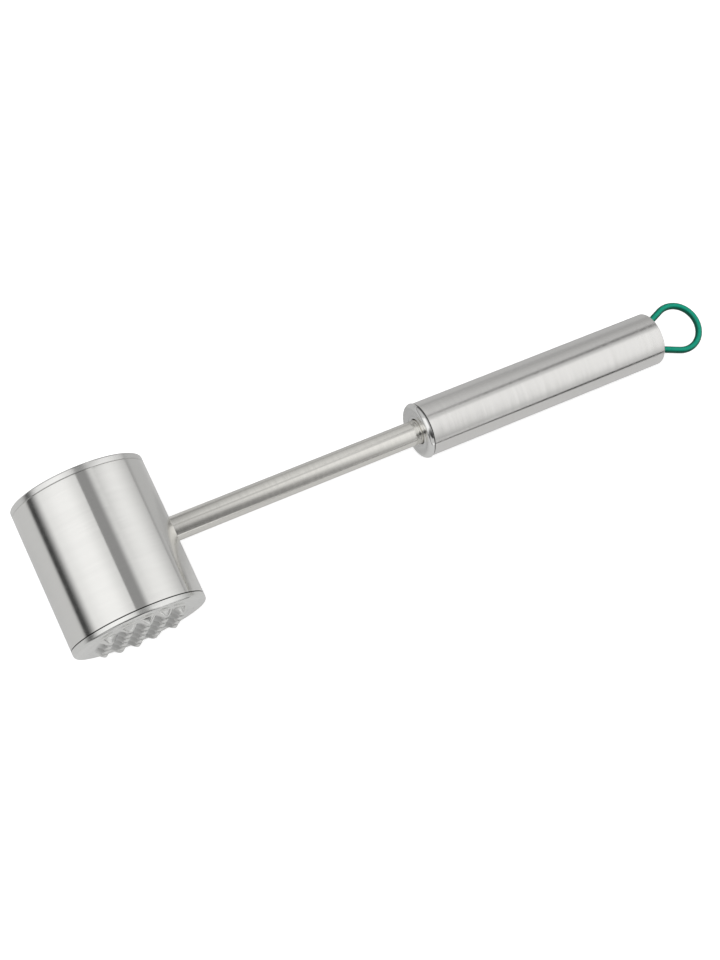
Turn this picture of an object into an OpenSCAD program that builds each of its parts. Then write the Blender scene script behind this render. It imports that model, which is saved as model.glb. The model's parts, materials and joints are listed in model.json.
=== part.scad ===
// Meat pounder: a steel barrel head with a toothed and a smooth striking face,
// on a round shaft with a tubular handle and a swinging hanging ring.
// The tool lies on a table: the barrel's side and the rear edge of the handle
// touch z = 0. X runs along the handle to the ring, Y along the head's axis
// to the smooth face. The origin is below the middle of the whole tool.

/* [Barrel] */
// Outer diameter of the head
head_d = 52; // [44:1:64]
// Length of the barrel between its two faces
barrel_l = 53.8; // [44:0.1:70]
// Wall of the barrel tube
barrel_wall = 1.2; // [0.8:0.1:2]
// Distance from the barrel's smooth end to the shaft's axis
shaft_offset = 26.3; // [22:0.1:32]

/* [Toothed face] */
// Height of the rim that shows beyond the barrel
toothed_rim_h = 2.6; // [2:0.1:4]
// Rounding of the rim's outer edge
toothed_rim_round = 1.2; // [0.6:0.1:1.8]
// Diameter of the raised field that carries the teeth
field_d = 41.2; // [34:0.2:42]
// Height of the raised field
field_h = 0.3; // [0.1:0.1:0.8]
// Distance from tooth to tooth
tooth_pitch = 7; // [5:0.5:9]
// Height of a tooth above the field
tooth_h = 2.5; // [1.5:0.1:3.5]
// Width of a tooth's flat tip
tooth_tip_w = 0.5; // [0.2:0.1:1]
// Width of the soft shoulders below the tip
tooth_shoulder_w = 1.8; // [1.2:0.1:2.4]
// Drop from the tip to the shoulders
tooth_shoulder_h = 0.4; // [0.2:0.1:0.8]
// Width of the valley between two teeth
tooth_valley_w = 0.4; // [0.1:0.1:0.8]

/* [Smooth face] */
// Height of the rim that shows beyond the barrel
smooth_rim_h = 2.5; // [1.6:0.1:4]
// Rounding of the rim's outer edge
smooth_rim_round = 0.6; // [0.3:0.1:1.2]

/* [Head core] */
// Depth of the spigot that seats each face in the barrel
spigot_h = 3; // [2:0.1:5]
// Bevel at both ends of the core and of the spigots
core_bevel = 1; // [0.5:0.1:2]
// Depth of the shaft in the core, past the head's axis
shaft_reach = 16; // [10:0.5:18]
// Diameter of the pin that locks the shaft in the core
head_pin_d = 5; // [3:0.1:6]
// Length of that pin past the shaft's axis
head_pin_reach = 13; // [9:0.5:18]

/* [Shaft] */
// Diameter of the shaft
shaft_d = 9.8; // [8:0.1:12]
// Bevel at both ends of the shaft
shaft_bevel = 0.6; // [0.2:0.1:1]

/* [Handle] */
// Distance from the head's axis to the front edge of the handle tube
handle_start = 133.3; // [110:0.1:160]
// Length of the handle tube
handle_l = 111; // [90:0.5:130]
// Outer diameter of the handle tube
handle_d = 22; // [19:0.5:26]
// Wall of the handle tube
handle_wall = 0.9; // [0.6:0.1:1.4]
// Rounding of the tube's rear edge
handle_round = 0.5; // [0.2:0.1:0.6]
// Radius of the front cap's dome
front_cap_round = 1.7; // [1.5:0.1:2.6]
// Straight band between the dome and the tube
front_cap_band = 0.2; // [0.2:0.05:1]
// Depth of the dish in the cap's face
front_cap_dish = 0.4; // [0.2:0.1:0.6]
// Depth of the face's sheet below the dome's crest and the rolled lip
front_cap_sink = 0.2; // [0.1:0.05:0.3]
// Sheet thickness of the cap
front_cap_wall = 0.6; // [0.5:0.1:1]
// Length of the skirt inside the tube
front_cap_skirt = 4; // [3:0.5:6]
// Radius of the rolled lip round the cap's hole
front_cap_lip = 0.6; // [0.4:0.05:0.8]
// Open gap between the shaft and the cap's rolled lip
front_cap_gap = 0.55; // [0.3:0.05:0.8]

/* [Handle bush] */
// Length of the bush that holds the shaft in the handle
bush_l = 24; // [16:0.5:36]
// Length of the shaft's tail behind the bush
shaft_tail = 3; // [1:0.5:6]
// Diameter of the pin through the bush and the shaft
bush_pin_d = 4; // [3:0.1:5]

/* [Rear plug] */
// Thickness of the plug that closes the tube
plug_l = 9; // [7:0.5:14]
// Depth of its outer face inside the tube's rear edge
plug_recess = 0.3; // [0.2:0.1:0.8]
// Bevel round its outer face
plug_bevel = 0.4; // [0.2:0.1:0.6]
// Width of the two slots that the ring's legs pass
slot_w = 4.2; // [3.8:0.1:4.6]

/* [Hanging ring] */
// Radius of the ring at the middle of its wire
ring_r = 10; // [9:0.1:14]
// Distance from the tube's rear edge to the ring's centre
ring_reach = 14.35; // [12:0.05:18]
// Distance between the ring's legs at the tube's rear edge
leg_spacing = 9.8; // [9.2:0.1:11]
// Diameter of the steel wire
wire_d = 1.8; // [1.4:0.1:2]
// Diameter over the coloured sleeve on the wire
sleeve_d = 2.8; // [2.4:0.05:3]
// Radius of the bend between a leg and its pivot end
wire_bend_r = 1.5; // [1.2:0.1:1.8]
// Depth of the ring's pivot axis inside the tube's rear edge
pivot_depth = 3.1; // [2.8:0.1:4]
// Angle that the ring swings to each side
ring_swing = 16; // [10:1:20]

/* [Fits] */
// Radial gap between pieces that are pressed, glued or welded together
seat_gap = 0.04; // [0.02:0.01:0.08]
// Radial gap of the ring's pivot ends in the plug
pivot_gap = 0.05; // [0.02:0.01:0.1]
// Free room round the ring's legs and ends in the plug
swing_gap = 0.3; // [0.2:0.05:0.5]
// Small bevel on each edge at a seam
seam_bevel = 0.25; // [0.1:0.05:0.4]

/* [Hidden] */
$fn = 96;
overrun = 0.5;
joint_trim = 0.05;
joint_swell = 0.01;
// Taper of the field's edge, as a share of the height, that trims the outer teeth
field_taper_share = 0.6;
// Shift of the rows of teeth off the head's axis, as a share of their pitch
row_shift_share = 0.5;
// Reach of the dome past its crest, toward the face, as a share of its radius
dome_fold_share = 0.65;

// Head
head_r = head_d / 2;
barrel_inner_r = head_r - barrel_wall;
spigot_r = barrel_inner_r - seat_gap;
smooth_end = -shaft_offset;
toothed_end = barrel_l - shaft_offset;
tooth_top = toothed_end + toothed_rim_h + field_h + tooth_h;
field_r = field_d / 2;
core_low = smooth_end + spigot_h + seat_gap;
core_high = toothed_end - spigot_h - seat_gap;

// Shaft and handle
shaft_r = shaft_d / 2;
handle_r = handle_d / 2;
tube_inner_r = handle_r - handle_wall;
inner_seat_r = tube_inner_r - seat_gap;
bush_start = handle_start + front_cap_skirt + seat_gap;
shaft_end = bush_start + bush_l + shaft_tail;
front_cap_l = front_cap_round + front_cap_band;
front_cap_lip_r = shaft_r + front_cap_gap + front_cap_lip;
rear_x = handle_start + handle_l;

// Hanging ring: each leg is a tangent from the ring's circle to its place at the rear edge
leg_y = leg_spacing / 2;
leg_hypot = norm([ring_reach, leg_y]);
leg_angle = asin(ring_r / leg_hypot) - atan2(leg_y, ring_reach);
ring_half_arc = 90 + leg_angle;
bend_run = wire_bend_r * tan(ring_half_arc / 2);
pivot_y = leg_y - pivot_depth * tan(leg_angle);
bend_y = pivot_y + bend_run;
leg_l = sqrt(leg_hypot ^ 2 - ring_r ^ 2) + pivot_depth / cos(leg_angle) - bend_run;
pivot_end_y = tube_inner_r - 2 * swing_gap;
wire_r = wire_d / 2;
sleeve_r = sleeve_d / 2;
slot_y = leg_y - plug_recess * tan(leg_angle);
slot_throw = (pivot_depth - plug_recess) * tan(ring_swing);

// Resting place: the tool leans about the head's axis until the handle's rear edge touches down
rear_round = [rear_x - handle_round, handle_r - handle_round];
lean = asin((head_r - handle_round) / norm(rear_round)) - atan2(rear_round[1], rear_round[0]);
tip_x = (rear_x + ring_reach + ring_r) * cos(lean) + sleeve_r;
middle = [(tip_x - head_r) / 2, (shaft_offset + smooth_rim_h - tooth_top) / 2, -head_r];

// Places the finished tool on the table
module resting() {
    translate(-middle)
        rotate([0, lean, 0])
            children();
}

// Turns a piece built along Z onto the head's axis, toothed end up
module on_head_axis() {
    rotate([90, 0, 0])
        children();
}

// Turns a piece built along Z onto the handle's axis, rear end up
module on_handle_axis() {
    rotate([0, 90, 0])
        children();
}

// Repeats a piece on the other side of the handle's axis
module both_sides() {
    children();
    mirror([0, 1, 0])
        children();
}

// Half section of a disc from z = 0 to z = h with a rounded upper edge
module rounded_half(r, h, round) {
    square([r - round, h]);
    square([r, h - round]);
    translate([r - round, h - round])
        circle(r = round);
}

// Half section of a disc or bar from z = low to z = high, with a bevel at each end
module bevelled_half(r, low, high, low_bevel, high_bevel) {
    polygon([
        [0, low], [r - low_bevel, low], [r, low + low_bevel],
        [r, high - high_bevel], [r - high_bevel, high], [0, high]
    ]);
}

module bevelled_bar(r, low, high, low_bevel, high_bevel) {
    rotate_extrude()
        bevelled_half(r, low, high, low_bevel, high_bevel);
}

// Cuts the small bevel on the edge of a round piece at z = 0, where it meets its neighbour
module seam_groove(r) {
    rotate_extrude()
        polygon([
            [r - seam_bevel, 0], [r + overrun, 0], [r + overrun, seam_bevel], [r, seam_bevel]
        ]);
}

// Straight round rod in the ring's plane, a trim short at both ends
module rod(start, angle, length, d) {
    translate([start[0], start[1], 0])
        rotate([0, 0, angle])
            rotate([0, 90, 0])
                translate([0, 0, joint_trim])
                    cylinder(h = length - 2 * joint_trim, d = d);
}

// Round rod bent in the ring's plane over an arc about a centre, a trim short at both ends
module bent_rod(centre, radius, start_angle, arc, d) {
    trim_angle = joint_trim / (2 * PI * radius) * 360;
    translate([centre[0], centre[1], 0])
        rotate([0, 0, start_angle + trim_angle])
            rotate_extrude(angle = arc - 2 * trim_angle)
                translate([radius, 0])
                    circle(d = d);
}

// Ball, a hair larger than the rod, that joins a straight and a bent stretch
module joint_ball(place, d) {
    translate([place[0], place[1], 0])
        sphere(d = d + 2 * joint_swell);
}

// Seamless tube between the two faces, with a hole for the shaft
module head_barrel() {
    color("gainsboro")
    resting()
    difference() {
        on_head_axis()
            difference() {
                bevelled_bar(head_r, smooth_end, toothed_end, seam_bevel, seam_bevel);
                translate([0, 0, smooth_end - overrun])
                    cylinder(h = barrel_l + 2 * overrun, r = barrel_inner_r);
            }
        on_handle_axis()
            cylinder(h = head_r + overrun, r = shaft_r + seat_gap);
    }
}

// Upper outline of one tooth seen from the side: a pyramid with a soft crest
function tooth_outline() =
    let (foot = (tooth_pitch - tooth_valley_w) / 2, root = -field_h)
    [
        [-foot, root], [-foot, 0],
        [-tooth_shoulder_w / 2, tooth_h - tooth_shoulder_h], [-tooth_tip_w / 2, tooth_h],
        [tooth_tip_w / 2, tooth_h], [tooth_shoulder_w / 2, tooth_h - tooth_shoulder_h],
        [foot, 0], [foot, root]
    ];

// A tooth is what two crossing ridges have in common
module tooth() {
    intersection() {
        rotate([90, 0, 0])
            linear_extrude(height = tooth_pitch, center = true)
                polygon(tooth_outline());
        rotate([90, 0, 90])
            linear_extrude(height = tooth_pitch, center = true)
                polygon(tooth_outline());
    }
}

// Square grid of teeth, with the outer ones trimmed to a round field
module teeth() {
    steps = ceil(field_r / tooth_pitch);
    intersection() {
        translate([0, 0, -field_h])
            cylinder(h = field_h + tooth_h + overrun,
                     r1 = field_r + field_h * field_taper_share,
                     r2 = field_r - (tooth_h + overrun) * field_taper_share);
        for (column = [-steps : steps], row = [-steps : steps - 1]) {
            place = [column * tooth_pitch, (row + row_shift_share) * tooth_pitch];
            if (norm(place) < field_r)
                translate(place)
                    tooth();
        }
    }
}

// Cast face with pyramid teeth, seated in the barrel by a spigot
module toothed_face() {
    color("silver")
    resting()
    on_head_axis()
    translate([0, 0, toothed_end]) {
        difference() {
            rotate_extrude()
                rounded_half(head_r, toothed_rim_h, toothed_rim_round);
            seam_groove(head_r);
        }
        rotate_extrude()
            bevelled_half(spigot_r, -spigot_h, overrun, core_bevel, 0);
        translate([0, 0, toothed_rim_h])
            cylinder(h = field_h, r1 = field_r + 2 * field_h, r2 = field_r);
        translate([0, 0, toothed_rim_h + field_h])
            teeth();
    }
}

// Plain polished face, seated in the barrel by a spigot
module smooth_face() {
    color("whitesmoke")
    resting()
    on_head_axis()
    translate([0, 0, smooth_end])
    mirror([0, 0, 1]) {
        difference() {
            rotate_extrude()
                rounded_half(head_r, smooth_rim_h, smooth_rim_round);
            seam_groove(head_r);
        }
        rotate_extrude()
            bevelled_half(spigot_r, -spigot_h, overrun, core_bevel, 0);
    }
}

// Steel weight that fills the barrel and backs both faces
module head_core() {
    color("dimgray")
    resting()
    difference() {
        on_head_axis()
            difference() {
                bevelled_bar(spigot_r, core_low, core_high, core_bevel, core_bevel);
                translate([0, 0, -head_pin_reach - seat_gap])
                    cylinder(h = core_high + head_pin_reach + overrun, r = head_pin_d / 2 + seat_gap);
            }
        on_handle_axis()
            translate([0, 0, -shaft_reach - seat_gap])
                cylinder(h = shaft_reach + head_r, r = shaft_r + seat_gap);
    }
}

// Pin driven in from the toothed end of the core, through the shaft
module head_pin() {
    color("darkgray")
    resting()
    on_head_axis()
        bevelled_bar(head_pin_d / 2, -head_pin_reach, core_high - core_bevel, shaft_bevel, shaft_bevel);
}

// Solid bar from the core to the handle, cross-drilled for its two pins
module shaft() {
    color("lightgray")
    resting()
    difference() {
        on_handle_axis()
            bevelled_bar(shaft_r, -shaft_reach, shaft_end, shaft_bevel, shaft_bevel);
        on_head_axis()
            cylinder(h = shaft_d + 2 * overrun, r = head_pin_d / 2 + seat_gap, center = true);
        bush_pin_place()
            cylinder(h = shaft_d + 2 * overrun, r = bush_pin_d / 2 + seat_gap, center = true);
    }
}

// Centre of the pin that crosses the bush and the shaft
module bush_pin_place() {
    translate([bush_start + bush_l / 2, 0, 0])
        on_head_axis()
            children();
}

// Half section of the cap's skirt, flange and band, where it seats in the tube
module front_cap_seat_half() {
    translate([inner_seat_r - front_cap_wall, -front_cap_wall]) {
        square([front_cap_wall, front_cap_wall + front_cap_skirt]);
        square([handle_r - inner_seat_r + front_cap_band, front_cap_wall]);
    }
    translate([handle_r - front_cap_wall, -front_cap_band])
        square([front_cap_wall, front_cap_band]);
}

// Half section of the cap's dome, folded over toward the face
module front_cap_dome_half() {
    dome_fold = front_cap_round * dome_fold_share;
    translate([handle_r - front_cap_round, -front_cap_band])
        intersection() {
            difference() {
                circle(r = front_cap_round);
                circle(r = front_cap_round - front_cap_wall);
            }
            translate([-dome_fold, -front_cap_round])
                square([front_cap_round + dome_fold, front_cap_round + front_cap_band]);
        }
}

// Half section of the cap's dished face, from the dome to the rolled lip
module front_cap_face_half() {
    dome_r = handle_r - front_cap_round;
    outer_z = front_cap_sink - front_cap_l;
    inner_z = outer_z + front_cap_dish;
    polygon([
        [dome_r, outer_z], [dome_r, outer_z + front_cap_wall],
        [front_cap_lip_r, inner_z + front_cap_wall], [front_cap_lip_r, inner_z]
    ]);
}

// Polished pressed cap that closes the front of the handle round the shaft
module front_cap() {
    color("white")
    resting()
    on_handle_axis()
    translate([0, 0, handle_start])
        difference() {
            union() {
                rotate_extrude()
                    front_cap_seat_half();
                rotate_extrude()
                    front_cap_dome_half();
                rotate_extrude()
                    front_cap_face_half();
                rotate_extrude()
                    translate([front_cap_lip_r, front_cap_dish - front_cap_l + front_cap_lip])
                        circle(r = front_cap_lip);
            }
            mirror([0, 0, 1])
                seam_groove(handle_r);
        }
}

// Bush that centres the shaft's tail in the handle tube
module handle_bush() {
    color("slategray")
    resting()
    difference() {
        on_handle_axis()
            difference() {
                bevelled_bar(inner_seat_r, bush_start, bush_start + bush_l, shaft_bevel, shaft_bevel);
                translate([0, 0, bush_start - overrun])
                    cylinder(h = bush_l + 2 * overrun, r = shaft_r + seat_gap);
            }
        bush_pin_place()
            cylinder(h = handle_d, r = bush_pin_d / 2 + seat_gap, center = true);
    }
}

// Pin through the bush and the shaft
module bush_pin() {
    half = tube_inner_r - swing_gap;
    color("darkgray")
    resting()
    bush_pin_place()
        bevelled_bar(bush_pin_d / 2, -half, half, shaft_bevel, shaft_bevel);
}

// Brushed tube that the hand holds, with a rounded rear edge
module handle_tube() {
    color("lightgray")
    resting()
    on_handle_axis()
    translate([0, 0, handle_start])
        difference() {
            rotate_extrude()
                rounded_half(handle_r, handle_l, handle_round);
            translate([0, 0, -overrun])
                cylinder(h = handle_l + 2 * overrun, r = tube_inner_r);
            seam_groove(handle_r);
        }
}

// Round-ended slot for one leg of the ring, long in the direction of the swing
module leg_slot() {
    depth = pivot_depth + wire_r + swing_gap;
    translate([-depth, 0, 0])
        rotate([90, 0, 90])
            linear_extrude(height = depth + overrun) {
                square([slot_w, 2 * slot_throw], center = true);
                for (side = [-1, 1])
                    translate([0, side * slot_throw])
                        circle(d = slot_w);
            }
}

// Plug that closes the tube and carries the ring's two pivot ends in a cross bore
module rear_plug() {
    color("gainsboro")
    resting()
    translate([rear_x, 0, 0])
    difference() {
        on_handle_axis()
            bevelled_bar(inner_seat_r, -plug_recess - plug_l, -plug_recess, plug_bevel, plug_bevel);
        for (side = [-1, 1])
            translate([0, side * slot_y, 0])
                leg_slot();
        translate([-pivot_depth, 0, 0])
            on_head_axis()
                cylinder(h = handle_d, r = wire_r + pivot_gap, center = true);
    }
}

// Bow of the ring and its two legs, which lean together
module ring_path(d, leg_length) {
    bow_end = [ring_reach - ring_r * sin(leg_angle), ring_r * cos(leg_angle)];
    bent_rod([ring_reach, 0], ring_r, -ring_half_arc, 2 * ring_half_arc, d);
    both_sides() {
        joint_ball(bow_end, d);
        rod(bow_end, leg_angle - 180, leg_length, d);
    }
}

// Spring wire of the hanging ring, with an outward pivot end on each leg
module ring_wire() {
    bend_centre = [wire_bend_r - pivot_depth, bend_y];
    leg_end = bend_centre + wire_bend_r * [sin(leg_angle), -cos(leg_angle)];
    color("darkgray")
    resting()
    translate([rear_x, 0, 0]) {
        ring_path(wire_d, leg_l);
        both_sides() {
            joint_ball(leg_end, wire_d);
            bent_rod(bend_centre, wire_bend_r, 180, ring_half_arc, wire_d);
            joint_ball([-pivot_depth, bend_y], wire_d);
            rod([-pivot_depth, bend_y], 90, pivot_end_y - bend_y, wire_d);
        }
    }
}

// Green plastic sleeve over the bow and the legs
module ring_sleeve() {
    color("seagreen")
    resting()
    translate([rear_x, 0, 0])
    difference() {
        ring_path(sleeve_d, leg_l - swing_gap);
        ring_path(wire_d + 2 * seat_gap, leg_l);
    }
}

head_barrel();
toothed_face();
smooth_face();
head_core();
head_pin();
shaft();
front_cap();
handle_bush();
bush_pin();
handle_tube();
rear_plug();
ring_wire();
ring_sleeve();
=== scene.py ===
# %% [markdown]
# # A steel meat pounder in a small studio
# The pounder is a heavy barrel with a toothed and a smooth striking face, on a
# round shaft with a tubular handle and a green hanging ring. Its sizes and
# places are fixed by the construction model, which is loaded first. This lesson
# gives every piece its finish and models the pieces that light plays on.

# %% Load the construction model
import json
from math import acos, atan2, cos, degrees, pi, radians, sin, sqrt

import bpy
from mathutils import Matrix, Vector


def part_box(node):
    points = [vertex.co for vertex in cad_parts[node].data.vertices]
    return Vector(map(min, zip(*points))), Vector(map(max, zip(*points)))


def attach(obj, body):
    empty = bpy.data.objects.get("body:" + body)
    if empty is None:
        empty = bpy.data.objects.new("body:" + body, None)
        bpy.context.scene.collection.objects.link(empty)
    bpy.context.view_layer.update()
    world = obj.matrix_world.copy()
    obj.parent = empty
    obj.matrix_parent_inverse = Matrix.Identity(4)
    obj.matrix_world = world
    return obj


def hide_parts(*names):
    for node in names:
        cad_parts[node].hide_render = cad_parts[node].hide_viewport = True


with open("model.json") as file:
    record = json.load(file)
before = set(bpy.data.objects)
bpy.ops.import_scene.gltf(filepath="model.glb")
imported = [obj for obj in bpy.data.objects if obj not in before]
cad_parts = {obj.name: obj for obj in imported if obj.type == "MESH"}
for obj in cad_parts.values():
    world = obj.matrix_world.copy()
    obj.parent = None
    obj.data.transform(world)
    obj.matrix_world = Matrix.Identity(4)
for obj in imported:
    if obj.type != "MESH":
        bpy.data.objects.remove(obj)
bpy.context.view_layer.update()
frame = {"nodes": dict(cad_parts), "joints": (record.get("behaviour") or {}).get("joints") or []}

print("construction model:", len(frame["nodes"]), "nodes")

# %% [markdown]
# ## Where the tool lies
# The pounder lies on its side, so the handle's axis leans down from the middle
# of the head to the ring. Two known points give that lean: the middle of the
# barrel and the hinge of the ring, which both lie on the handle's axis. Every
# new piece is modelled upright, with the handle along X and the head along Y,
# and is then laid down with the same turn and shift.

# %% Find the axis of the handle
MM = 0.001
barrel_low, barrel_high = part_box("head_barrel")
hinge = Vector(frame["joints"][0]["pos_m"])
head_centre = Vector(((barrel_low.x + barrel_high.x) / 2, hinge.y, (barrel_low.z + barrel_high.z) / 2))
lean = atan2(head_centre.z - hinge.z, hinge.x - head_centre.x)
lay_down = Matrix.Translation(head_centre) @ Matrix.Rotation(lean, 4, "Y")
stand_up = lay_down.inverted()
print("middle of the head:", [round(c / MM, 2) for c in head_centre], "mm, lean", round(degrees(lean), 2))


# %% [markdown]
# ## Measuring a node
# A new piece has to sit exactly where its node is. Reading the node's own
# corners, turned back upright, gives its length along the handle or the head
# without any copied numbers.

# %% Measure a node along the upright axes
def reach(node, axis):
    places = [(stand_up @ v.co)[axis] for v in frame["nodes"][node].data.vertices]
    return min(places), max(places)


X, Y, Z = 0, 1, 2
toothed_end, smooth_end = reach("head_barrel", Y)
teeth_tip = reach("toothed_face", Y)[0]
smooth_face_top = reach("smooth_face", Y)[1]
head_r = (barrel_high.x - barrel_low.x) / 2
shaft_front, shaft_back = reach("shaft", Y)
shaft_r = (shaft_back - shaft_front) / 2
handle_start, handle_end = reach("handle_tube", X)
handle_front, handle_back = reach("handle_tube", Y)
handle_r = (handle_back - handle_front) / 2
cap_front = reach("front_cap", X)[0]
sleeve_start, ring_end = reach("ring_sleeve", X)
print("barrel from", round(toothed_end / MM, 2), "to", round(smooth_end / MM, 2), "mm")
print("handle from", round(handle_start / MM, 2), "to", round(handle_end / MM, 2), "mm")
print("radius of the handle", round(handle_r / MM, 2), "mm, of the shaft", round(shaft_r / MM, 2), "mm")

# %% [markdown]
# ## The camera
# The picture looks steeply down on the tool from its head end, rolled so that
# the handle climbs to the upper right. A long lens keeps the head from looking
# too large. The place and the turn come from fitting the outline of the tool.

# %% Set the camera
camera_place = Vector((-199.46, -122.41, 607.77)) * MM
camera_turn = (16.907, -10.610, -26.010)
camera_data = bpy.data.cameras.new("studio_camera")
camera_data.lens = 60.809
camera_data.sensor_width = 36
camera_data.clip_start = 0.01
camera = bpy.data.objects.new("studio_camera", camera_data)
camera.location = camera_place
camera.rotation_euler = [radians(a) for a in camera_turn]
bpy.context.scene.collection.objects.link(camera)
bpy.context.scene.camera = camera
bpy.context.scene.view_settings.view_transform = "Standard"
print("camera", round((camera_place - head_centre).length, 3), "m from the head")


# %% [markdown]
# ## Small helpers for shader nodes
# Every finish is a chain of a few nodes. These helpers add one node, set its
# values and join its inputs, so that a finish reads as a short recipe.

# %% Add and join shader nodes
def add_node(tree, kind, inputs=(), **settings):
    node = tree.nodes.new(kind)
    for name, value in settings.items():
        setattr(node, name, value)
    for name, value in dict(inputs).items():
        if isinstance(value, bpy.types.NodeSocket):
            tree.links.new(value, node.inputs[name])
        else:
            node.inputs[name].default_value = value
    return node


def split(tree, vector):
    return add_node(tree, "ShaderNodeSeparateXYZ", {0: vector}).outputs


print("node builder ready")


# %% Calculate, step and blend
def calculate(tree, operation, a, b=0.0):
    return add_node(tree, "ShaderNodeMath", {0: a, 1: b}, operation=operation).outputs[0]


def times(tree, first, *others):
    for other in others:
        first = calculate(tree, "MULTIPLY", first, other)
    return first


def slanted(tree, first, second, slope):
    return calculate(tree, "ADD", first, times(tree, second, slope))


def soft_step(tree, value, start, end, low=0.0, high=1.0):
    ranges = {"Value": value, "From Min": start, "From Max": end, "To Min": low, "To Max": high}
    return add_node(tree, "ShaderNodeMapRange", ranges, interpolation_type="SMOOTHSTEP").outputs[0]


def blend(tree, share, below, above):
    levels = {"Factor": share, "A": below, "B": above}
    return add_node(tree, "ShaderNodeMix", levels, data_type="FLOAT").outputs[0]


print("node helpers ready")

# %% [markdown]
# ## The studio that the steel mirrors
# Polished and brushed steel has almost no colour of its own: what is seen on it
# is the room. The room here is a sky that is drawn by direction, so that it
# turns over the surfaces as a real room does when the camera moves. It has a
# large soft box on the left that ends in a dark line near the floor, a grey
# back wall, a dim gap with a small bright card in it, a front that is dark
# higher up and light near the floor, a second soft box on the right, and a dim
# stripe towards the front. The parts are laid over each other one by one.
# Each has soft edges: a soft step says between which two measures of a
# direction, to the right, to the back or up, a part fades in. Where a step has
# four numbers, the last two are the levels that it goes between.

# %% Start the sky
world = bpy.data.worlds.new("studio")
bpy.context.scene.world = world
world.use_nodes = True
sky = world.node_tree
sky.nodes.clear()
direction = add_node(sky, "ShaderNodeTexCoord").outputs["Generated"]
right, back, up = split(sky, direction)
print("sky started with", len(sky.nodes), "nodes")

# %% The left soft box and the back wall
line_level = 0.10
left_glow = soft_step(sky, right, 0.05, -0.50, 0.80, 1.13)
left_height = soft_step(sky, up, 0.3, 0.75, 0.86, 1.0)
above_line = soft_step(sky, up, -0.02, 0.34)
left_box = blend(sky, above_line, line_level, times(sky, left_glow, left_height))
wall_level = soft_step(sky, up, 0.0, 0.7, 0.44, 0.64)
wall_edge = soft_step(sky, back, 0.36, 0.50)
room = blend(sky, wall_edge, left_box, wall_level)
print("with the left box and the wall:", len(sky.nodes), "nodes")

# %% The dim gap and its card
gap_line = slanted(sky, back, right, -0.8)
past_line = soft_step(sky, gap_line, 0.142, 0.172)
far_right = soft_step(sky, right, 0.40, 0.44)
far_left = soft_step(sky, right, -0.025, -0.05)
not_front = soft_step(sky, back, -0.45, -0.15)
outside_gap = calculate(sky, "MAXIMUM", times(sky, far_left, not_front), times(sky, past_line, far_right))
card_start = soft_step(sky, right, 0.26, 0.31)
card_end = soft_step(sky, right, 0.44, 0.41)
card_foot = soft_step(sky, back, 0.28, 0.40)
card = times(sky, card_start, card_end, card_foot)
card_level = soft_step(sky, back, 0.35, 0.9, 0.82, 0.52)
dim_level = soft_step(sky, up, 0.7, 0.95, 0.17, 0.33)
gap_level = blend(sky, card, dim_level, card_level)
room = blend(sky, outside_gap, gap_level, room)
print("with the gap and its card:", len(sky.nodes), "nodes")

# %% The front of the room
front_start = soft_step(sky, back, -0.4, -0.7)
front_end = soft_step(sky, right, 0.26, 0.14)
front_level = soft_step(sky, up, 0.42, 0.56, 0.62, 0.06)
room = blend(sky, times(sky, front_start, front_end), room, front_level)
low_level = 1.0
near_floor = soft_step(sky, up, 0.24, 0.10)
low_start = soft_step(sky, back, -0.5, -0.8)
low_end = soft_step(sky, right, -0.45, -0.2)
room = blend(sky, times(sky, near_floor, low_start, low_end), room, low_level)
print("with the front:", len(sky.nodes), "nodes")

# %% The right soft box
near_share = 0.45
far_share = 0.55
before_line = soft_step(sky, gap_line, 0.042, 0.012)
before_end = soft_step(sky, right, 0.44, 0.40)
near_edge = soft_step(sky, right, 0.19, 0.24)
near_part = times(sky, near_edge, calculate(sky, "MAXIMUM", before_line, before_end), near_share)
far_edge = soft_step(sky, slanted(sky, back, right, -0.645), 0.06, -0.20)
far_part = times(sky, far_edge, far_share)
box_start = soft_step(sky, slanted(sky, right, back, 0.1), 0.21, 0.40)
right_share = times(sky, calculate(sky, "ADD", near_part, far_part), box_start)
right_level = soft_step(sky, up, -0.15, 0.65, 0.58, 1.02)
room = blend(sky, right_share, room, right_level)
print("with the right box:", len(sky.nodes), "nodes")

# %% The dim stripe, and white for the camera
stripe_level = 0.28
white = 1.0
stripe_start = soft_step(sky, right, 0.26, 0.31)
stripe_end = soft_step(sky, right, 0.40, 0.36)
stripe_depth = soft_step(sky, back, -0.2, -0.8)
room = blend(sky, times(sky, stripe_start, stripe_end, stripe_depth), room, stripe_level)
seen = add_node(sky, "ShaderNodeLightPath").outputs["Is Camera Ray"]
brightness = blend(sky, seen, room, white)
background = add_node(sky, "ShaderNodeBackground", {"Color": (1, 1, 1, 1), "Strength": brightness})
add_node(sky, "ShaderNodeOutputWorld", {"Surface": background.outputs[0]})
print("sky nodes:", len(sky.nodes))


# %% [markdown]
# ## The floor and the lamp
# The floor is a plain pale sheet that takes the tool's soft shadow. For the
# camera it also glows a little, so that it reads as white without more light on
# the steel. In the steel's mirror images it has a shade of its own: pale round
# the tool, a little darker behind the handle, and dark far to the left and
# beside the handle in front, as where a sheet ends on a table. Those dark
# places give the barrel and the handle their edges. Matt pieces get little
# light back from the floor, so that the green sleeve keeps its depth.

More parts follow.
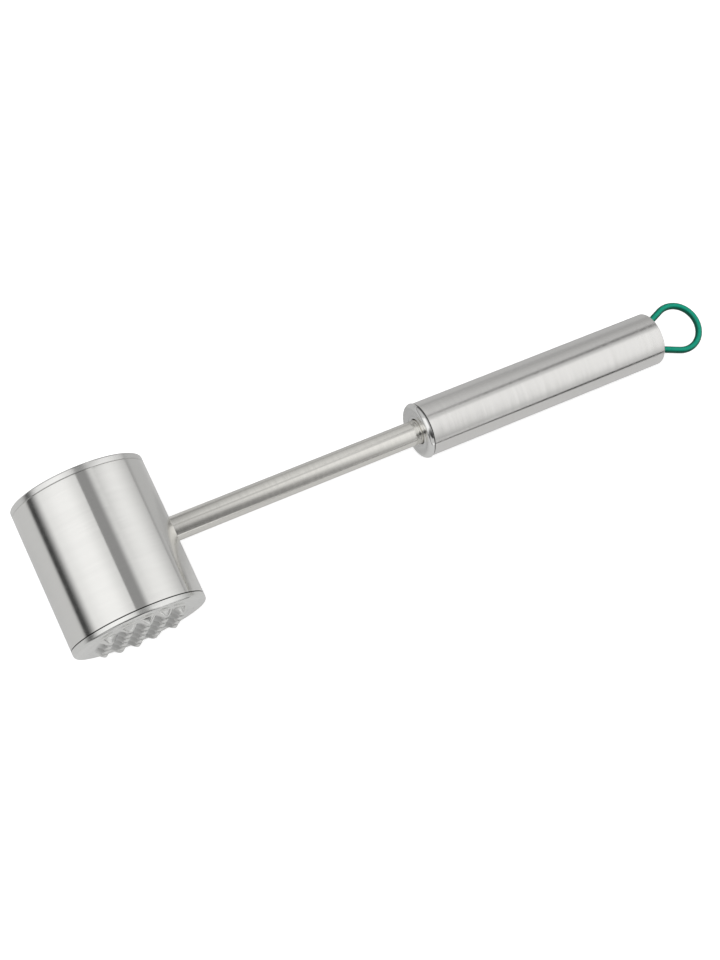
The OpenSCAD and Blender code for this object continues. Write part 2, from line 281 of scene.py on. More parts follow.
# %% How light the floor is in a mirror image
def floor_shade(tree):
    open_level, behind_level, clear_level = 0.76, 0.55, 0.64
    front_level, left_level = 0.07, 0.08
    place = add_node(tree, "ShaderNodeTexCoord").outputs["Object"]
    parts = split(tree, place)
    along, across = parts["X"], parts["Y"]
    clear_start = soft_step(tree, across, 0.022, 0.032)
    clear_end = soft_step(tree, across, 0.16, 0.08)
    behind = blend(tree, times(tree, clear_start, clear_end), behind_level, clear_level)
    behind_start = soft_step(tree, along, -0.10, -0.05)
    behind_edge = soft_step(tree, across, 0.004, 0.02)
    shade = blend(tree, times(tree, behind_start, behind_edge), open_level, behind)
    strip_start = soft_step(tree, across, -0.10, -0.13)
    strip_end = soft_step(tree, across, -1.60, -1.20)
    strip_side = soft_step(tree, along, 0.10, 0.16)
    shade = blend(tree, times(tree, strip_start, strip_end, strip_side), shade, front_level)
    left_edge = soft_step(tree, slanted(tree, along, across, 0.2), -0.26, -0.48)
    return blend(tree, left_edge, shade, left_level)


print("the floor's shade has five levels")


# %% Lay the floor
def floor_finish():
    mirrored_colour, mirrored_glow = 0.7, 0.25
    camera_colour, camera_glow = 0.8, 0.6
    matt_colour = 0.1
    material = bpy.data.materials.new("pale_floor")
    material.use_nodes = True
    tree = material.node_tree
    tree.nodes.clear()
    path = add_node(tree, "ShaderNodeLightPath").outputs
    shade = floor_shade(tree)
    level = blend(tree, path["Is Diffuse Ray"], times(tree, shade, mirrored_colour), matt_colour)
    level = blend(tree, path["Is Camera Ray"], level, camera_colour)
    colour = add_node(tree, "ShaderNodeCombineColor", {0: level, 1: level, 2: level}).outputs[0]
    matt = add_node(tree, "ShaderNodeBsdfDiffuse", {"Color": colour})
    own_glow = times(tree, shade, mirrored_glow, path["Is Glossy Ray"])
    strength = blend(tree, path["Is Camera Ray"], own_glow, camera_glow)
    glow = add_node(tree, "ShaderNodeEmission", {"Strength": strength})
    both = add_node(tree, "ShaderNodeAddShader", {0: matt.outputs[0], 1: glow.outputs[0]})
    add_node(tree, "ShaderNodeOutputMaterial", {"Surface": both.outputs[0]})
    material.cycles.emission_sampling = "NONE"
    return material


floor_width = 12
bpy.ops.object.select_all(action="DESELECT")
bpy.ops.mesh.primitive_plane_add(size=floor_width)
floor = bpy.context.object
floor.name = "studio_floor"
floor.data.materials.append(floor_finish())
print("floor", floor.dimensions.x, "m wide")

# %% Hang one large soft lamp
lamp_data = bpy.data.lights.new("soft_lamp", "AREA")
lamp_data.shape = "RECTANGLE"
lamp_data.size = 1.4
lamp_data.size_y = 1.0
lamp_data.energy = 8
lamp = bpy.data.objects.new("soft_lamp", lamp_data)
lamp.location = (-0.5, -0.2, 1.6)
lamp.rotation_euler = Vector(lamp.location).to_track_quat("Z", "Y").to_euler()
lamp.visible_glossy = False
bpy.context.scene.collection.objects.link(lamp)
print("lamp", round(lamp.location.length, 2), "m away")


# %% [markdown]
# ## Places and patterns on the steel
# The tool leans, but its scratches and turning marks follow its own axes. So
# every pattern starts from a place that is turned back upright with the tool.
# Noise that is stretched one way gives scratches, even noise gives grain, and
# the distance from an axis gives circles.

# %% Coordinates that stand upright with the tool
def upright_place(tree):
    place = add_node(tree, "ShaderNodeTexCoord").outputs["Object"]
    turned = {"Vector": place, "Location": head_centre, "Rotation": (0, lean, 0)}
    return add_node(tree, "ShaderNodeMapping", turned, vector_type="TEXTURE").outputs[0]


def axis_scale(axis, along, around):
    return [along if i == axis else around for i in range(3)]


def radius_round(tree, place, axis):
    flat = {"Vector": place, "Scale": axis_scale(axis, 0.0, 1.0)}
    across = add_node(tree, "ShaderNodeMapping", flat).outputs[0]
    return add_node(tree, "ShaderNodeVectorMath", {0: across}, operation="LENGTH").outputs["Value"]


print("upright place ready, lean", round(degrees(lean), 2))


# %% Stretched and even noise
def stretched_noise(tree, place, scale, detail=3.0):
    stretched = add_node(tree, "ShaderNodeMapping", {"Vector": place, "Scale": scale}).outputs[0]
    grain = {"Vector": stretched, "Scale": 1.0, "Detail": detail, "Roughness": 0.6}
    return add_node(tree, "ShaderNodeTexNoise", grain).outputs["Fac"]


def even_noise(tree, place, fineness, detail):
    return stretched_noise(tree, place, (fineness, fineness, fineness), detail)


print("noise helpers ready")

# %% [markdown]
# ## What all finishes share
# A finish blends two colours over a pattern, lets its roughness wander between
# two values and raises a fine grain a little. At the seams that show dark, dirt
# and shadow fill the groove between two pieces, so there the colour goes dark
# within the width of the bevel.

# %% Helpers for colour and roughness
seam_bevel = 0.25 * MM
seam_colour = (0.03, 0.029, 0.027, 1)
noise_low, noise_high = 0.3, 0.7


def new_finish(name, metallic=1.0):
    material = bpy.data.materials.new(name)
    material.use_nodes = True
    tree = material.node_tree
    shader = tree.nodes["Principled BSDF"]
    shader.inputs["Metallic"].default_value = metallic
    return material, tree, shader


def mix_colours(tree, share, below, above):
    colours = {"Factor": share, 6: below, 7: above}
    return add_node(tree, "ShaderNodeMix", colours, data_type="RGBA").outputs[2]


def set_colour(tree, shader, share, first, second):
    tree.links.new(mix_colours(tree, share, (*first, 1), (*second, 1)), shader.inputs["Base Color"])


def set_roughness(tree, shader, pattern, smooth, rough, start=noise_low):
    wander = soft_step(tree, pattern, start, noise_high, smooth, rough)
    tree.links.new(wander, shader.inputs["Roughness"])


print("colour and roughness helpers ready")


# %% Helpers for grain and seams
def raise_grain(tree, shader, height, depth, strength):
    bump = add_node(tree, "ShaderNodeBump", {"Height": height, "Distance": depth, "Strength": strength})
    tree.links.new(bump.outputs[0], shader.inputs["Normal"])


def darken_seam(tree, shader, along, seam):
    colour = shader.inputs["Base Color"].links[0].from_socket
    distance = calculate(tree, "ABSOLUTE", calculate(tree, "SUBTRACT", along, seam))
    groove = soft_step(tree, distance, seam_bevel, 0.5 * seam_bevel)
    tree.links.new(mix_colours(tree, groove, colour, seam_colour), shader.inputs["Base Color"])


print("a seam goes dark within", seam_bevel / MM, "mm")


# %% [markdown]
# ## Steel that was brushed round an axis
# The barrel and the handle were brushed while they turned, so their fine
# scratches run round the axis. Two things show that: thin streaks, which are
# noise stretched round the axis and squeezed along it, and a mirror image that
# is blurred along the axis but keeps its edges round it. The second comes from
# the shader's anisotropy, with its tangent along the axis. The shaft was ground
# in the same way, and is blurred less.

# %% Brushed steel
def world_direction(tree, vector):
    return add_node(tree, "ShaderNodeVectorTransform", {"Vector": vector}, vector_type="VECTOR",
                    convert_from="OBJECT", convert_to="WORLD").outputs[0]


def brushed_steel(name, axis, dark, light, roughness, blur, groove, seam=None):
    streak_scale, band_scale = axis_scale(axis, 4200, 60), axis_scale(axis, 420, 14)
    material, tree, shader = new_finish(name)
    place = upright_place(tree)
    streaks = stretched_noise(tree, place, streak_scale)
    bands = stretched_noise(tree, place, band_scale, 2.0)
    set_colour(tree, shader, streaks, dark, light)
    set_roughness(tree, shader, bands, *roughness)
    shader.inputs["Anisotropic"].default_value = blur
    tangent = lay_down.to_3x3() @ Vector(axis_scale(axis, 1.0, 0.0))
    along = add_node(tree, "ShaderNodeCombineXYZ", dict(enumerate(tangent))).outputs[0]
    tree.links.new(world_direction(tree, along), shader.inputs["Tangent"])
    raise_grain(tree, shader, streaks, groove, strength=0.2)
    if seam is not None:
        darken_seam(tree, shader, split(tree, place)[axis], seam)
    return material


barrel_finish = brushed_steel(
    "brushed_barrel", Y, dark=(0.74, 0.735, 0.715), light=(0.82, 0.815, 0.795),
    roughness=(0.12, 0.16), blur=0.95, groove=0.02 * MM, seam=toothed_end)
handle_finish = brushed_steel(
    "brushed_handle", X, dark=(0.74, 0.73, 0.71), light=(0.81, 0.80, 0.785),
    roughness=(0.14, 0.19), blur=0.75, groove=0.015 * MM, seam=handle_start)
shaft_finish = brushed_steel(
    "ground_shaft", X, dark=(0.745, 0.73, 0.69), light=(0.825, 0.81, 0.77),
    roughness=(0.12, 0.17), blur=0.5, groove=0.012 * MM)
print("brushed finishes:", barrel_finish.name, handle_finish.name, shaft_finish.name)


# %% [markdown]
# ## Steel turned on a lathe
# The smooth striking face, the plug in the handle and the pieces inside were
# faced on a lathe, so their marks are fine circles round an axis. The distance
# from the axis, fed to a noise, gives circles that never repeat. The distance
# along the axis is added to it, so that a round side has its marks too.

# %% Turned steel
def turned_steel(name, axis, dark, light, roughness, groove):
    mark_scale, patch_scale = 5200, 90
    material, tree, shader = new_finish(name)
    place = upright_place(tree)
    way = calculate(tree, "ADD", radius_round(tree, place, axis), split(tree, place)[axis])
    marks = {"W": times(tree, way, mark_scale), "Scale": 1.0}
    rings = add_node(tree, "ShaderNodeTexNoise", marks, noise_dimensions="1D").outputs["Fac"]
    set_colour(tree, shader, rings, dark, light)
    set_roughness(tree, shader, even_noise(tree, place, patch_scale, 2.0), *roughness)
    raise_grain(tree, shader, rings, groove, strength=0.3)
    return material


face_finish = turned_steel(
    "turned_face", Y, dark=(0.74, 0.735, 0.72), light=(0.81, 0.805, 0.79),
    roughness=(0.16, 0.24), groove=0.01 * MM)
plug_finish = turned_steel(
    "turned_plug", X, dark=(0.66, 0.655, 0.64), light=(0.75, 0.745, 0.73),
    roughness=(0.24, 0.32), groove=0.015 * MM)
inner_finish = turned_steel(
    "turned_core", X, dark=(0.46, 0.46, 0.455), light=(0.54, 0.54, 0.535),
    roughness=(0.34, 0.44), groove=0.02 * MM)
print("turned finishes:", face_finish.name, plug_finish.name, inner_finish.name)


# %% [markdown]
# ## Cast steel
# The toothed face was cast and tumbled. Its skin is satin with a fine grain.
# The flanks and valleys between its teeth are painted darker, as painted shade,
# while the crests keep the light colour. How deep a place lies below the tips
# tells one from the other, and the distance from the axis keeps the painted
# shade among the teeth, away from the field's edge and the rim.

# %% Cast steel
def cast_steel(name):
    crest_depth, flank_depth = 0.5 * MM, 0.95 * MM
    dark_from, dark_full = 19.0 * MM, 16.5 * MM
    recess_shade_share, grain_share = 0.8, 0.2
    grain_scale, patch_scale = 1500, 160
    material, tree, shader = new_finish(name)
    place = upright_place(tree)
    along = split(tree, place)["Y"]
    # Painted shade: the deeper a place lies below the tips, the darker its colour.
    flank = soft_step(tree, calculate(tree, "SUBTRACT", along, teeth_tip), crest_depth, flank_depth)
    among_teeth = soft_step(tree, radius_round(tree, place, Y), dark_from, dark_full)
    recess_shade = times(tree, flank, among_teeth, recess_shade_share)
    grain = even_noise(tree, place, grain_scale, 5.0)
    share = calculate(tree, "ADD", recess_shade, times(tree, grain, grain_share))
    set_colour(tree, shader, share, (0.84, 0.84, 0.82), (0.38, 0.38, 0.37))
    set_roughness(tree, shader, even_noise(tree, place, patch_scale, 2.0), 0.17, 0.23)
    raise_grain(tree, shader, grain, 0.03 * MM, strength=0.35)
    darken_seam(tree, shader, along, toothed_end)
    return material


cast_finish = cast_steel("tumbled_casting")
print("cast finish:", cast_finish.name)


# %% [markdown]
# ## Polished cap, drawn wire and green plastic
# The cap at the front of the handle is pressed and polished, with the faint
# waviness that pressing leaves. The ring is a steel wire in a smooth green
# sleeve whose skin scatters most of the light and shines a little. The sleeve's
# flanks are painted a deeper green than its top and underside, as painted shade;
# the height above or below the middle of the wire gives it.

# %% Polished steel
def polished_steel(name):
    wave_scale, haze_scale = 130, 700
    material, tree, shader = new_finish(name)
    place = upright_place(tree)
    waves = even_noise(tree, place, wave_scale, 1.0)
    haze = even_noise(tree, place, haze_scale, 4.0)
    set_colour(tree, shader, haze, (0.78, 0.78, 0.765), (0.84, 0.84, 0.83))
    set_roughness(tree, shader, haze, 0.07, 0.12, start=0.35)
    raise_grain(tree, shader, waves, 0.04 * MM, strength=0.3)
    darken_seam(tree, shader, split(tree, place)["X"], handle_start)
    return material


cap_finish = polished_steel("polished_cap")
wire_finish = turned_steel(
    "drawn_wire", Y, dark=(0.52, 0.52, 0.515), light=(0.62, 0.62, 0.615),
    roughness=(0.26, 0.34), groove=0.008 * MM)
print("cap and wire finishes:", cap_finish.name, wire_finish.name)

# %% Green plastic
sleeve_r = 1.4 * MM


def green_plastic(name):
    flank_height = 0.66 * sleeve_r
    painted_light_share, cloud_share = 0.85, 0.15
    cloud_scale, skin_scale = 420, 2600
    material, tree, shader = new_finish(name, metallic=0.0)
    place = upright_place(tree)
    clouds = even_noise(tree, place, cloud_scale, 3.0)
    skin = even_noise(tree, place, skin_scale, 2.0)
    # Painted shade: the sleeve's top and underside get the lighter green, its flanks the deeper one.
    painted_light_top_and_under = soft_step(tree, calculate(tree, "ABSOLUTE", split(tree, place)["Z"]), flank_height, sleeve_r)
    share = calculate(tree, "ADD", times(tree, painted_light_top_and_under, painted_light_share), times(tree, clouds, cloud_share))
    set_colour(tree, shader, share, (0.0, 0.08, 0.048), (0.003, 0.38, 0.245))
    set_roughness(tree, shader, clouds, 0.24, 0.34)
    shader.inputs["IOR"].default_value = 1.3
    raise_grain(tree, shader, skin, 0.01 * MM, strength=0.3)
    return material


sleeve_finish = green_plastic("green_sleeve_plastic")
print("sleeve finish:", sleeve_finish.name)


# %% [markdown]
# ## Modelling by hand, in code
# Each new piece starts as a primitive and is shaped in edit mode. An operator
# works on what is selected, so these helpers clear the selection and pick
# faces, edges or corners by where they are.

# %% Helpers for selecting and applying
import bmesh


def clear_selection():
    if bpy.context.object and bpy.context.object.mode == "EDIT":
        bpy.ops.object.mode_set(mode="OBJECT")
    bpy.ops.object.select_all(action="DESELECT")


def apply_place():
    bpy.ops.object.transform_apply(location=True, rotation=True, scale=True)
    return bpy.context.object


def edit(piece):
    clear_selection()
    bpy.context.view_layer.objects.active = piece
    piece.select_set(True)
    bpy.ops.object.mode_set(mode="EDIT")


def pick(piece, kind, test):
    bpy.ops.mesh.select_mode(type=kind)
    bpy.ops.mesh.select_all(action="DESELECT")
    shape = bmesh.from_edit_mesh(piece.data)
    items = {"EDGE": shape.edges, "FACE": shape.faces}[kind]
    for item in items:
        if test(item):
            item.select_set(True)
    shape.select_flush_mode()
    bmesh.update_edit_mesh(piece.data)


def apply_modifier(piece, kind, **settings):
    bpy.context.view_layer.objects.active = piece
    modifier = piece.modifiers.new(kind.lower(), kind)
    for name, value in settings.items():
        setattr(modifier, name, value)
    bpy.ops.object.modifier_apply(modifier=modifier.name)


print("modelling helpers ready")


# %% Helpers that find faces and round edges
def at(value, target, close=0.01 * MM):
    return abs(value - target) < close


def on_circle(corner, radius, axis):
    square = sum(c * c for i, c in enumerate(corner) if i != axis)
    return at(sqrt(square), radius, close=0.02 * MM)


facing = 0.9


def faces_up(face):
    return face.normal.z > facing


def faces_down(face):
    return face.normal.z < -facing


def round_edge(piece, radius, height, width, segments, axis=Z):
    def on_edge(edge):
        return all(on_circle(v.co, radius, axis) and at(v.co[axis], height) for v in edge.verts)

    pick(piece, "EDGE", on_edge)
    bpy.ops.mesh.bevel(offset=width, segments=segments, affect="EDGES")


print("faces within", round(degrees(acos(facing)), 1), "degrees of upright face up or down")


# %% [markdown]
# ## Laying a finished piece down
# When a piece is done it is turned and shifted with the tool, its place is
# applied to its mesh, and it takes its name, its finish and the body it rides
# on. The node that it stands for is hidden.

# %% Helper that settles a finished piece
def settle(piece, name, finish, body, slot, *nodes, sharp=35):
    clear_selection()
    piece.select_set(True)
    bpy.context.view_layer.objects.active = piece
    piece.matrix_world = lay_down @ piece.matrix_world
    apply_place()
    bpy.ops.object.shade_smooth_by_angle(angle=radians(sharp))
    apply_modifier(piece, "WEIGHTED_NORMAL", keep_sharp=True)
    piece.name = name
    piece.data.materials.clear()
    piece.data.materials.append(finish)
    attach(piece, body)
    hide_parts(*nodes)
    piece.data.calc_loop_triangles()
    print(name, len(piece.data.loop_triangles), "triangles,",
          [round(d / MM, 2) for d in piece.dimensions], "mm")


print("pieces are laid down by", round(degrees(lean), 2), "degrees")

# %% [markdown]
# ## The barrel
# The barrel is a piece of seamless tube. An open cylinder is divided along its
# length, so that the shading stays even round the shaft's hole, and gets its
# wall from Solidify. A small bevel breaks its four edges and leaves a fine
# groove at each seam. A second cylinder cuts the hole for the shaft.

# %% Shape the barrel's tube
head_sides = 256
length_cuts = 47
barrel_corners = [stand_up @ v.co for v in frame["nodes"]["head_barrel"].data.vertices]
barrel_inner_r = min(sqrt(corner.x ** 2 + corner.z ** 2) for corner in barrel_corners)
barrel_wall = head_r - barrel_inner_r
clear_selection()
bpy.ops.mesh.primitive_cylinder_add(
    vertices=head_sides, radius=head_r, depth=smooth_end - toothed_end, end_fill_type="NOTHING",
    location=(0, (smooth_end + toothed_end) / 2, 0), rotation=(pi / 2, 0, 0))
barrel = apply_place()
edit(barrel)
pick(barrel, "EDGE", lambda e: abs(e.verts[0].co.y - e.verts[1].co.y) > head_r)
bpy.ops.mesh.subdivide(number_cuts=length_cuts)
bpy.ops.object.mode_set(mode="OBJECT")
apply_modifier(barrel, "SOLIDIFY", thickness=barrel_wall, offset=-1, use_even_offset=True)
apply_modifier(barrel, "BEVEL", width=seam_bevel, segments=3, limit_method="ANGLE", angle_limit=radians(60))
print("barrel wall", round(barrel_wall / MM, 2), "mm, faces", len(barrel.data.polygons))

# %% Cut the shaft's hole
seat_gap = 0.04 * MM
hole_sides = 96
clear_selection()
bpy.ops.mesh.primitive_cylinder_add(
    vertices=hole_sides, radius=shaft_r + seat_gap, depth=head_r,
    location=(head_r, 0, 0), rotation=(0, pi / 2, 0))
cutter = apply_place()
apply_modifier(barrel, "BOOLEAN", object=cutter, operation="DIFFERENCE", solver="EXACT")
bpy.data.objects.remove(cutter)
settle(barrel, "barrel", barrel_finish, "pounder", "barrel_steel", "head_barrel")

# %% [markdown]
# ## The toothed face
# The casting has a rounded rim, a flat border and a slightly raised round
# field full of small pyramids. The body is a disc whose faces are inset and
# bevelled. The pyramids start as one four-sided cone with a blunt crest,
# copied over a square grid and trimmed to the round field. A fine remesh and
# a smoothing pass then melt them into the field, as a casting's soft edges are.

# %% Shape the body of the casting
rim_h = 2.6 * MM
rim_round = 1.2 * MM
field_h = 0.3 * MM
field_top = rim_h + field_h
field_r = 20.6 * MM
field_foot = field_r + 2 * field_h
foot_round = 0.5 * MM
field_round = 0.25 * MM
spigot_r = barrel_inner_r - seat_gap
spigot_h = 3.0 * MM
clear_selection()
bpy.ops.mesh.primitive_cylinder_add(
    vertices=head_sides, radius=head_r, depth=rim_h, location=(0, 0, rim_h / 2))
casting = apply_place()
edit(casting)
pick(casting, "FACE", faces_up)
bpy.ops.mesh.inset(thickness=head_r - field_foot)
bpy.ops.mesh.inset(thickness=2 * field_h, depth=field_h)
pick(casting, "FACE", faces_down)
bpy.ops.mesh.inset(thickness=head_r - spigot_r)
bpy.ops.mesh.extrude_region_move(TRANSFORM_OT_translate={"value": (0, 0, -spigot_h)})
round_edge(casting, head_r, rim_h, rim_round, 9)
round_edge(casting, head_r, 0, seam_bevel, 3)
round_edge(casting, field_foot, rim_h, foot_round, 4)
round_edge(casting, field_r, field_top, field_round, 3)
bpy.ops.object.mode_set(mode="OBJECT")
print("casting body faces:", len(casting.data.polygons))

# %% Shape one tooth
pitch = 7.0 * MM
valley = 0.4 * MM
tooth_h = toothed_end - teeth_tip - rim_h - field_h
shoulder_w = 1.8 * MM
shoulder_drop = 0.4 * MM
shoulder_h = tooth_h - shoulder_drop
tip_w = 0.5 * MM
root = 0.8 * MM
clear_selection()
bpy.ops.mesh.primitive_cone_add(
    vertices=4, radius1=(pitch - valley) / sqrt(2), radius2=shoulder_w / sqrt(2), depth=shoulder_h,
    rotation=(0, 0, pi / 4), location=(0, 0, field_top + shoulder_h / 2))
tooth = apply_place()
edit(tooth)
pick(tooth, "FACE", faces_up)
bpy.ops.mesh.inset(thickness=(shoulder_w - tip_w) / 2, depth=shoulder_drop)
pick(tooth, "FACE", faces_down)
bpy.ops.mesh.extrude_region_move(TRANSFORM_OT_translate={"value": (0, 0, -root)})
bpy.ops.object.mode_set(mode="OBJECT")
print("one tooth:", len(tooth.data.polygons), "faces,", round(tooth_h / MM, 2), "mm high")

# %% Copy the tooth over the field and trim it round
field_sides = 192
steps = int(field_r / pitch) + 1
grid = [Vector((column * pitch, (row + 0.5) * pitch, 0))
        for column in range(-steps, steps + 1) for row in range(-steps, steps)]
teeth = []
for spot in grid:
    if spot.length < field_r:
        copy = tooth.copy()
        copy.data = tooth.data.copy()
        copy.location = spot
        bpy.context.scene.collection.objects.link(copy)
        teeth.append(copy)
bpy.data.objects.remove(tooth)
clear_selection()
bpy.ops.mesh.primitive_cone_add(
    vertices=field_sides, radius1=field_r + root, radius2=field_r - tooth_h - root,
    depth=tooth_h + 2 * root, location=(0, 0, field_top + tooth_h / 2))
trimmer = apply_place()
for copy in teeth:
    apply_modifier(copy, "BOOLEAN", object=trimmer, operation="INTERSECT", solver="EXACT")
bpy.data.objects.remove(trimmer)
print("teeth on the field:", len(teeth))

# %% Melt the teeth together
field_inset = 0.1 * MM
voxel = 0.22 * MM
melt_rounds = 90
clear_selection()
bpy.ops.mesh.primitive_cylinder_add(
    vertices=field_sides, radius=field_r - field_inset, depth=root, location=(0, 0, field_top - root / 2))
field = apply_place()
for copy in teeth:
    copy.select_set(True)
bpy.context.view_layer.objects.active = field
bpy.ops.object.join()
apply_modifier(field, "REMESH", mode="VOXEL", voxel_size=voxel)
edit(field)
bpy.ops.mesh.select_all(action="SELECT")
bpy.ops.mesh.vertices_smooth(factor=0.5, repeat=melt_rounds)
bpy.ops.object.mode_set(mode="OBJECT")
print("melted field:", len(field.data.polygons), "faces")

# %% Bring the teeth back to their height and join them to the casting
valley_facing = 0.7
inner = [v for v in field.data.vertices if v.co.xy.length < field_r - pitch]
valley_z = min(v.co.z for v in inner if v.normal.z > valley_facing)
crest_z = max(v.co.z for v in field.data.vertices)
stretch = tooth_h / (crest_z - valley_z)
edit(field)
bpy.ops.mesh.select_all(action="SELECT")
bpy.ops.transform.resize(value=(1, 1, stretch), center_override=(0, 0, valley_z))
bpy.ops.transform.translate(value=(0, 0, field_top - valley_z))
bpy.ops.object.mode_set(mode="OBJECT")
apply_modifier(casting, "BOOLEAN", object=field, operation="UNION", solver="EXACT")
bpy.data.objects.remove(field)
casting.rotation_euler = (pi / 2, 0, 0)
casting.location = (0, toothed_end, 0)
print("melted teeth were", round((crest_z - valley_z) / MM, 2), "mm high")
settle(casting, "toothed_casting", cast_finish, "pounder", "cast_steel", "toothed_face")

# %% [markdown]
# ## The smooth face
# The other end of the barrel is closed by a plain turned disc. Its rim is
# rounded less than the casting's, and its flat carries fine turning marks.

# %% Shape the smooth face
smooth_h = smooth_face_top - smooth_end
smooth_round = 0.6 * MM
clear_selection()
bpy.ops.mesh.primitive_cylinder_add(
    vertices=head_sides, radius=head_r, depth=smooth_h, location=(0, 0, smooth_h / 2))
disc = apply_place()
edit(disc)
pick(disc, "FACE", faces_down)
bpy.ops.mesh.inset(thickness=head_r - spigot_r)
bpy.ops.mesh.extrude_region_move(TRANSFORM_OT_translate={"value": (0, 0, -spigot_h)})
round_edge(disc, head_r, smooth_h, smooth_round, 6)
round_edge(disc, head_r, 0, seam_bevel, 3)
bpy.ops.object.mode_set(mode="OBJECT")
disc.rotation_euler = (-pi / 2, 0, 0)
disc.location = (0, smooth_end, 0)
settle(disc, "smooth_disc", face_finish, "pounder", "face_steel", "smooth_face")

# %% [markdown]
# ## The handle tube
# The handle is a thin tube. Its rear edge is rolled to a soft round, and its
# front edge has the same small bevel as the other seams.

# %% Shape the handle tube
tube_sides = 192
tube_wall = 0.9 * MM
rear_round = 0.5 * MM
clear_selection()
bpy.ops.mesh.primitive_cylinder_add(
    vertices=tube_sides, radius=handle_r, depth=handle_end - handle_start, end_fill_type="NOTHING",
    location=((handle_start + handle_end) / 2, 0, 0), rotation=(0, pi / 2, 0))
tube = apply_place()
apply_modifier(tube, "SOLIDIFY", thickness=tube_wall, offset=-1, use_even_offset=True)
edit(tube)
round_edge(tube, handle_r, handle_end, rear_round, 6, axis=X)
round_edge(tube, handle_r, handle_start, seam_bevel, 3, axis=X)
bpy.ops.object.mode_set(mode="OBJECT")
settle(tube, "grip_tube", handle_finish, "pounder", "handle_steel", "handle_tube")


# %% [markdown]
# ## The front cap
# The cap is pressed from sheet: a skirt inside the tube, a high round dome, a
# dished face and a rolled lip round the shaft's hole. Its half section is
# drawn corner by corner by extruding one vertex, with arcs for the round
# stretches, and spun round the axis. Solidify then gives the sheet.

# %% Helpers that draw and spin a half section
def arc(centre, radius, start, end, steps):
    turns = [radians(start + (end - start) * i / steps) for i in range(steps + 1)]
    return [(centre[0] + radius * cos(t), centre[1] + radius * sin(t)) for t in turns]


def close_shell():
    bpy.ops.mesh.select_all(action="SELECT")
    bpy.ops.mesh.remove_doubles(threshold=0.002 * MM)
    bpy.ops.mesh.normals_make_consistent(inside=False)
    bpy.ops.object.mode_set(mode="OBJECT")


def spin_section(points, steps):
    clear_selection()
    bpy.ops.mesh.primitive_plane_add(size=MM)
    piece = bpy.context.object
    edit(piece)
    bpy.ops.mesh.select_mode(type="VERT")
    bpy.ops.mesh.select_all(action="SELECT")
    bpy.ops.mesh.merge(type="CENTER")
    bpy.ops.transform.translate(value=(points[0][0], 0, points[0][1]))
    for here, there in zip(points, points[1:]):
        step = (there[0] - here[0], 0, there[1] - here[1])
        bpy.ops.mesh.extrude_region_move(TRANSFORM_OT_translate={"value": step})
    bpy.ops.mesh.select_all(action="SELECT")
    bpy.ops.mesh.spin(steps=steps, angle=2 * pi, center=(0, 0, 0), axis=(0, 0, 1))
    close_shell()
    return piece


print("an arc of 4 steps has", len(arc((0, 0), 1, 0, 90, 4)), "points")

# %% Draw the section of the front cap
dome_r = 1.7 * MM
dome_z = handle_start - cap_front - dome_r
dome_turn = 124
dish_w = 3.4 * MM
dish_z = dome_z + dome_r - 0.4 * MM
lip_r = 0.6 * MM
lip_gap = 0.55 * MM
lip_from, lip_to = 55, 205
lip_centre = (shaft_r + lip_gap + lip_r, dish_z - lip_r)
skirt_r = handle_r - tube_wall - seat_gap
skirt_l = 4.0 * MM
rest_gap = 0.02 * MM
section = [(skirt_r, -skirt_l), (skirt_r, -rest_gap)]
section += [(handle_r - seam_bevel, -rest_gap), (handle_r, seam_bevel)]
section += arc((handle_r - dome_r, dome_z), dome_r, 0, dome_turn, 20)
section += [(handle_r - dish_w, dish_z)]
section += arc(lip_centre, lip_r, lip_from, lip_to, 10)
print("the cap's section has", len(section), "points")

# %% Spin the cap and give it its sheet
cap_sheet = 0.4 * MM
cap_steps = 160
cap = spin_section(section, cap_steps)
apply_modifier(cap, "SOLIDIFY", thickness=cap_sheet, offset=-1)
cap.rotation_euler = (0, -pi / 2, 0)
cap.location = (handle_start, 0, 0)
settle(cap, "polished_front_cap", cap_finish, "pounder", "polished_steel", "front_cap", sharp=50)

# %% [markdown]
# ## The green sleeve of the ring
# The sleeve follows the bent wire: a straight leg, three quarters of a circle
# and the other leg. A small circle is extruded along the first leg, spun round
# the ring's centre and extruded again. Solidify gives the plastic its wall.

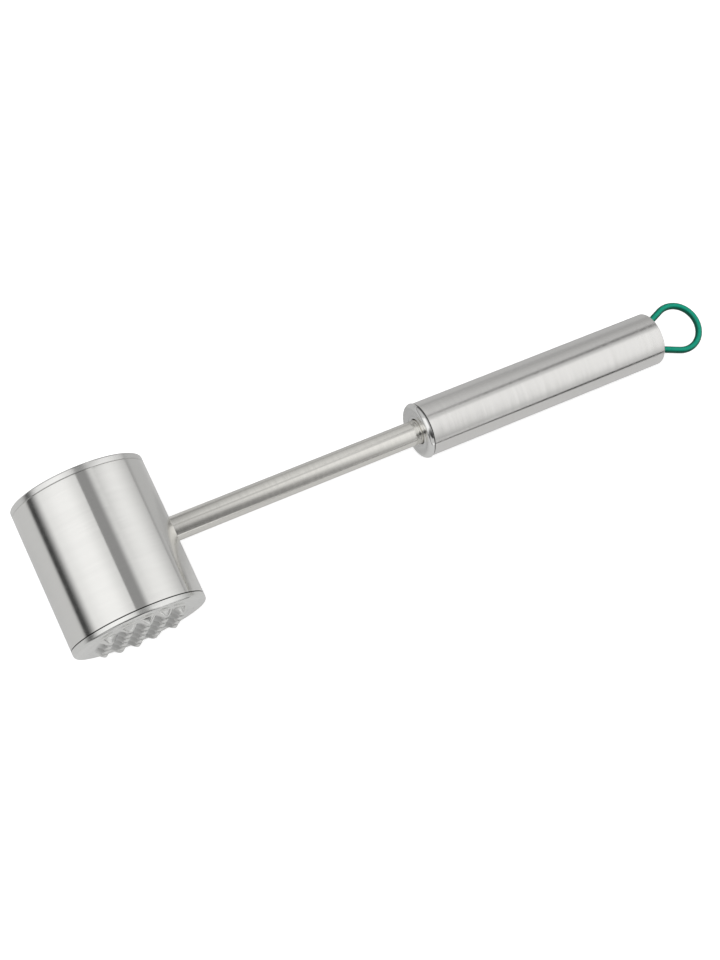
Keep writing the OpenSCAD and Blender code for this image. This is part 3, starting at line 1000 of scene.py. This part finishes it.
# %% Find the line of the wire
ring_r = 10.0 * MM
ring_centre = ring_end - ring_r - sleeve_r
leg_x = ring_centre - handle_end
leg_y = 4.9 * MM
touch_l = sqrt(leg_x ** 2 + leg_y ** 2 - ring_r ** 2)
leg_turn = atan2(ring_r, touch_l) - atan2(leg_y, leg_x)
bow_start = Vector((ring_centre - ring_r * sin(leg_turn), -ring_r * cos(leg_turn), 0))
way_out = Vector((cos(leg_turn), -sin(leg_turn), 0))
way_back = Vector((-way_out.x, way_out.y, 0))
sleeve_l = (bow_start.x - sleeve_start - sleeve_r * abs(way_out.y)) / way_out.x
print("a leg turns out by", round(degrees(leg_turn), 2), "degrees over", round(sleeve_l / MM, 2), "mm")

# %% Sweep the sleeve along the wire
sleeve_wall = 0.45 * MM
sleeve_sides = 32
bow_steps = 120
clear_selection()
bpy.ops.mesh.primitive_circle_add(
    vertices=sleeve_sides, radius=sleeve_r, location=bow_start - way_out * sleeve_l,
    rotation=(0, pi / 2, -leg_turn))
sleeve = apply_place()
edit(sleeve)
bpy.ops.mesh.select_mode(type="VERT")
bpy.ops.mesh.select_all(action="SELECT")
bpy.ops.mesh.extrude_region_move(TRANSFORM_OT_translate={"value": way_out * sleeve_l})
bpy.ops.mesh.spin(steps=bow_steps, angle=pi + 2 * leg_turn, center=(ring_centre, 0, 0), axis=(0, 0, -1))
bpy.ops.mesh.extrude_region_move(TRANSFORM_OT_translate={"value": way_back * sleeve_l})
close_shell()
apply_modifier(sleeve, "SOLIDIFY", thickness=sleeve_wall, offset=-1)
settle(sleeve, "ring_cover", sleeve_finish, "hanging_ring", "green_sleeve", "ring_sleeve")

# %% [markdown]
# ## Finishes of the pieces that keep their own shape
# The shaft, the plug with its slots and the pieces inside already have their
# true shape, so they only take a finish.

# %% Give the other nodes their finish
node_finishes = {
    "shaft": shaft_finish, "rear_plug": plug_finish, "ring_wire": wire_finish,
    "head_core": inner_finish, "head_pin": inner_finish,
    "handle_bush": inner_finish, "bush_pin": inner_finish,
}
for name, finish in node_finishes.items():
    for material_slot in frame["nodes"][name].material_slots:
        material_slot.link = "OBJECT"
        material_slot.material = finish
print("nodes with a finish:", len(node_finishes))

# %% [markdown]
# ## The end
# The view layer is brought up to date.

# %% Bring the view layer up to date
bpy.context.view_layer.update()
